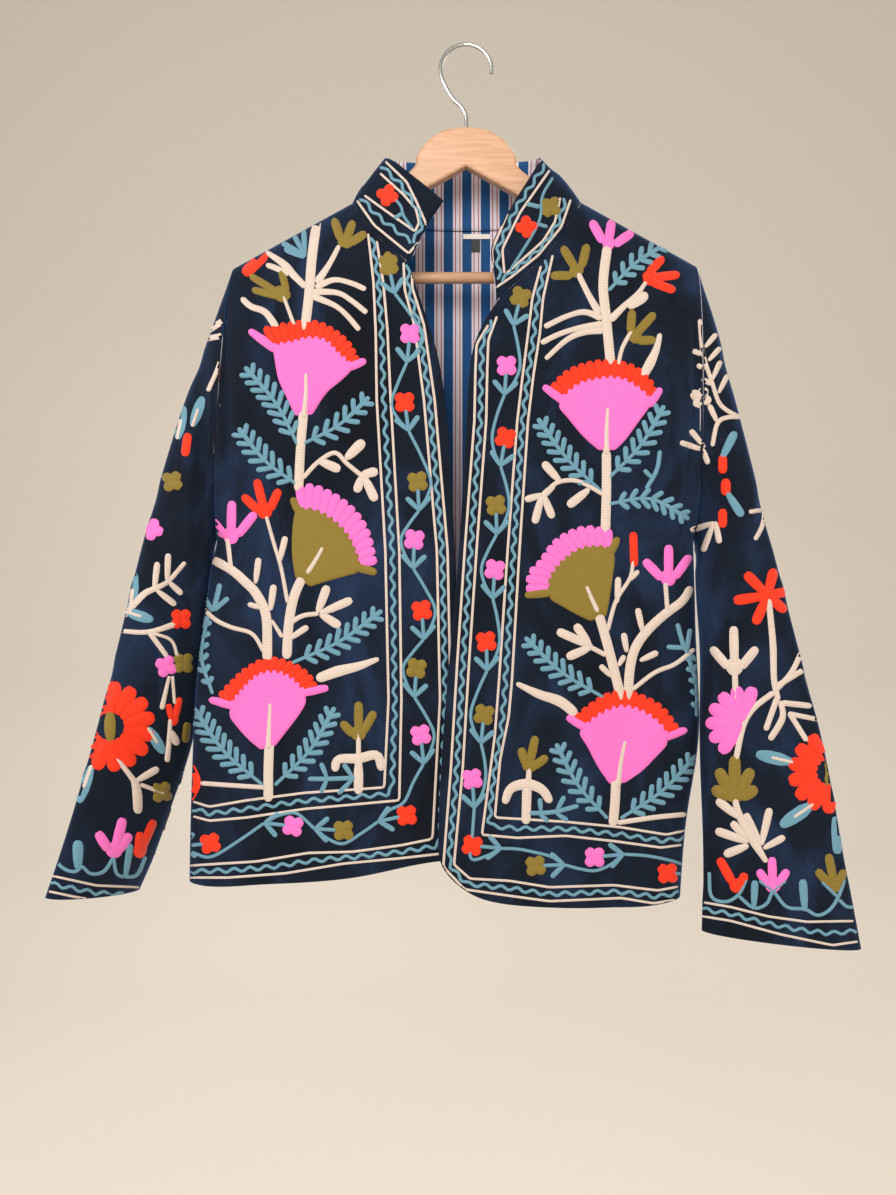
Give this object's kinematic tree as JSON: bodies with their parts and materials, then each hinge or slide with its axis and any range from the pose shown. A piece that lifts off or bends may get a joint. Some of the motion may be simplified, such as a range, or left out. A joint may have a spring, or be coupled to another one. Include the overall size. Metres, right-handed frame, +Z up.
{
  "type": "suzani jacket on a wooden clothes hanger",
  "caption": "Open-front velvet jacket with suzani floral embroidery, stand collar and long sleeves, hanging on a wooden hanger.",
  "frame": {"origin": "inner crown of the hanger's hook, where a rail or a peg holds it up", "axes": "+Z up, -Y to the front of the jacket, +X to the wearer's left"},
  "size_m": [0.7581, 0.1094, 0.8701],
  "materials": {
    "velvet": "dark navy cotton velvet with a blue sheen",
    "embroidery": "chain-stitched wool and cotton thread in cream, pink, red, olive and teal",
    "lining": "plain-woven cotton with blue and pale stripes",
    "label": "blank woven tape",
    "wood": "clear-varnished pale hardwood",
    "steel": "polished bent wire"
  },
  "bodies": {
    "root": {"front_right": "velvet", "front_left": "velvet", "back": "velvet", "sleeve_right": "velvet", "sleeve_left": "velvet", "collar": "velvet", "collar_lining": "lining", "back_lining": "lining", "label": "label", "hanger_wood": "wood", "hanger_bar": "wood", "hanger_hook": "steel"}
  },
  "joints": []
}
